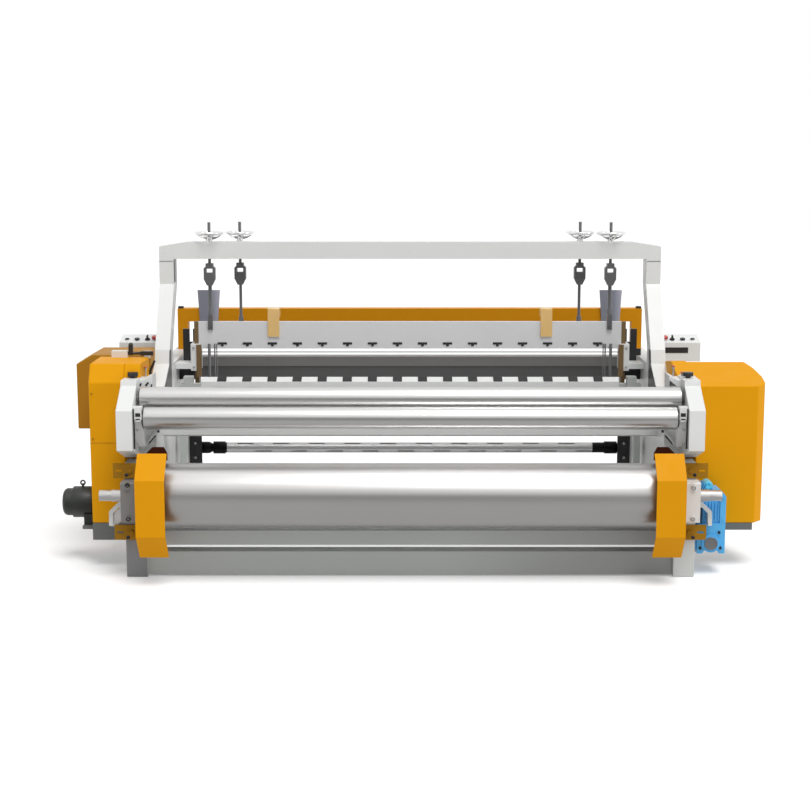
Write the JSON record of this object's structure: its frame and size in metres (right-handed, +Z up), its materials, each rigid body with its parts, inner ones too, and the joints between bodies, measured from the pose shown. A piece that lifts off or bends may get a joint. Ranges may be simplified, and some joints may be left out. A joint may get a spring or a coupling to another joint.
{
  "type": "wire mesh weaving machine",
  "caption": "Wide wire mesh weaving machine with a gantry, lifting heald frames, a rocking sley, draw rolls, a take-up roll and yellow drive housings.",
  "frame": {"origin": "on the floor, midway between the outer ends in X and in Y", "axes": "+Z up, -Y towards the operator's front, +X to the right seen from the front"},
  "size_m": [3.564, 1.873, 1.708],
  "materials": {
    "machine_grey": "satin enamel",
    "casting_white": "satin enamel",
    "housing_yellow": "gloss enamel",
    "roll_steel": "turned",
    "bright_steel": "polished",
    "black_paint": "satin",
    "gearbox_blue": "gloss enamel",
    "motor_green": "satin enamel",
    "hook_tan": "satin",
    "plate_lilac": "satin",
    "stile_brown": "satin",
    "black_plastic": "fine grain",
    "stop_red": "moulded",
    "screen_black": "smooth"
  },
  "bodies": {
    "frame": {"front_base": "machine_grey", "side_frame_left": "machine_grey", "side_frame_right": "machine_grey", "gantry_beam": "machine_grey", "breast_beam": "machine_grey", "back_rest_beam": "machine_grey", "rear_portal": "housing_yellow", "rear_base_beam": "machine_grey", "roll_bracket_left": "casting_white", "roll_bracket_right": "casting_white", "nip_arms": "casting_white", "take_up_bearings": "casting_white", "roll_guard_left": "housing_yellow", "roll_guard_right": "housing_yellow", "unloading_arms": "casting_white", "drive_housing_left": "housing_yellow", "drive_housing_right": "housing_yellow", "crank_housing": "housing_yellow", "housing_shelves": "machine_grey", "drive_motor": "motor_green", "gearbox": "gearbox_blue", "roller_brackets": "black_paint", "guide_plates": "plate_lilac", "frame_guides": "casting_white", "fork_brackets": "black_paint", "console_left": "casting_white", "console_right": "casting_white", "displays": "screen_black", "clutch_block": "casting_white"},
    "take_up": {"take_up_roll": "roll_steel"},
    "lower_roll": {"lower_draw_roll": "roll_steel"},
    "upper_roll": {"upper_draw_roll": "roll_steel"},
    "back_roller": {"rear_roller": "bright_steel"},
    "front_heald": {"front_panel": "machine_grey", "front_clamps": "black_paint", "front_stiles": "stile_brown", "front_foot_rail": "machine_grey", "stop_hooks": "hook_tan", "front_hangers": "black_paint"},
    "rear_heald": {"rear_heald_frame": "machine_grey", "rear_hangers": "black_paint"},
    "front_wheel_left": {"front_handwheel_left": "bright_steel"},
    "front_wheel_right": {"front_handwheel_right": "bright_steel"},
    "rear_wheel_left": {"rear_handwheel_left": "bright_steel"},
    "rear_wheel_right": {"rear_handwheel_right": "bright_steel"},
    "front_lift": {"lift_arms_front": "machine_grey"},
    "rear_lift": {"lift_arms_rear": "machine_grey"},
    "sley": {"sley_rocker": "machine_grey", "race_board": "machine_grey", "wire_guides": "black_paint"},
    "clutch": {"clutch_lever": "black_paint"},
    "knob_left": {"side_knob_left": "black_plastic"},
    "knob_right": {"side_knob_right": "black_plastic"},
    "stop_left": {"stop_button_left": "stop_red"},
    "stop_right": {"stop_button_right": "stop_red"},
    "selector_knob_left": {"selector_left": "black_plastic"},
    "selector_knob_right": {"selector_right": "black_plastic"},
    "start_left": {"start_button_left": "black_plastic"},
    "start_right": {"start_button_right": "black_plastic"}
  },
  "joints": [
    {"name": "take_up_roll_spin", "type": "hinge", "parent": "frame", "child": "take_up", "pos_m": [0, -0.7425, 0.422], "axis": [1, 0, 0], "continuous": true},
    {"name": "lower_roll_spin", "type": "hinge", "parent": "frame", "child": "lower_roll", "pos_m": [0, -0.6725, 0.794], "axis": [1, 0, 0], "continuous": true},
    {"name": "upper_roll_spin", "type": "hinge", "parent": "frame", "child": "upper_roll", "pos_m": [0, -0.58249, 0.879], "axis": [1, 0, 0], "continuous": true},
    {"name": "rear_roller_spin", "type": "hinge", "parent": "frame", "child": "back_roller", "pos_m": [0, 0.7475, 0.383], "axis": [1, 0, 0], "continuous": true},
    {"name": "front_heald_lift", "type": "slide", "parent": "frame", "child": "front_heald", "axis": [0, 0, 1], "range_m": [0, 0.06]},
    {"name": "rear_heald_lift", "type": "slide", "parent": "frame", "child": "rear_heald", "axis": [0, 0, 1], "range_m": [0, 0.06]},
    {"name": "front_lift_arm_swing", "type": "hinge", "parent": "frame", "child": "front_lift", "pos_m": [0, 0.48753, 0.65172], "axis": [-1, 0, 0], "range_deg": [0, 15.2]},
    {"name": "rear_lift_arm_swing", "type": "hinge", "parent": "frame", "child": "rear_lift", "pos_m": [0, 0.54353, 0.65172], "axis": [-1, 0, 0], "range_deg": [0, 15.2]},
    {"name": "sley_swing", "type": "hinge", "parent": "frame", "child": "sley", "pos_m": [0, 0.1595, 0.18], "axis": [1, 0, 0], "range_deg": [0, 14]},
    {"name": "clutch_lever_throw", "type": "hinge", "parent": "frame", "child": "clutch", "pos_m": [-1.45, -0.2075, 1.056], "axis": [1, 0, 0], "range_deg": [-25, 25]},
    {"name": "front_handwheel_left_turn", "type": "hinge", "parent": "front_heald", "child": "front_wheel_left", "pos_m": [-1.084, 0.2595, 1.63], "axis": [0, 0, 1], "continuous": true},
    {"name": "rear_handwheel_left_turn", "type": "hinge", "parent": "rear_heald", "child": "rear_wheel_left", "pos_m": [-0.924, 0.3155, 1.63], "axis": [0, 0, 1], "continuous": true},
    {"name": "side_knob_left_turn", "type": "hinge", "parent": "frame", "child": "knob_left", "pos_m": [-1.385, -0.5025, 0.98], "axis": [0, 0, 1], "continuous": true},
    {"name": "stop_button_left_press", "type": "slide", "parent": "frame", "child": "stop_left", "axis": [0, 0.2419, -0.9703], "range_m": [0, 0.003], "stiffness_N_per_m": 4000},
    {"name": "start_button_left_press", "type": "slide", "parent": "frame", "child": "start_left", "axis": [0, 0.2419, -0.9703], "range_m": [0, 0.003], "stiffness_N_per_m": 3000},
    {"name": "selector_left_turn", "type": "hinge", "parent": "frame", "child": "selector_knob_left", "pos_m": [-1.458, 0.43243, 1.04971], "axis": [0, -0.2419, 0.9703], "range_deg": [-40, 40]},
    {"name": "front_handwheel_right_turn", "type": "hinge", "parent": "front_heald", "child": "front_wheel_right", "pos_m": [1.084, 0.2595, 1.63], "axis": [0, 0, 1], "continuous": true},
    {"name": "rear_handwheel_right_turn", "type": "hinge", "parent": "rear_heald", "child": "rear_wheel_right", "pos_m": [0.924, 0.3155, 1.63], "axis": [0, 0, 1], "continuous": true},
    {"name": "side_knob_right_turn", "type": "hinge", "parent": "frame", "child": "knob_right", "pos_m": [1.385, -0.5025, 0.98], "axis": [0, 0, 1], "continuous": true},
    {"name": "stop_button_right_press", "type": "slide", "parent": "frame", "child": "stop_right", "axis": [0, 0.2419, -0.9703], "range_m": [0, 0.003], "stiffness_N_per_m": 4000},
    {"name": "start_button_right_press", "type": "slide", "parent": "frame", "child": "start_right", "axis": [0, 0.2419, -0.9703], "range_m": [0, 0.003], "stiffness_N_per_m": 3000},
    {"name": "selector_right_turn", "type": "hinge", "parent": "frame", "child": "selector_knob_right", "pos_m": [1.458, 0.43243, 1.04971], "axis": [0, -0.2419, 0.9703], "range_deg": [-40, 40]}
  ],
  "couplings": [
    {"joint": "upper_roll_spin", "follows": "lower_roll_spin", "ratio": -1},
    {"joint": "front_lift_arm_swing", "follows": "front_heald_lift", "rad_per_m": 4.3633},
    {"joint": "rear_lift_arm_swing", "follows": "rear_heald_lift", "rad_per_m": 4.3633}
  ]
}
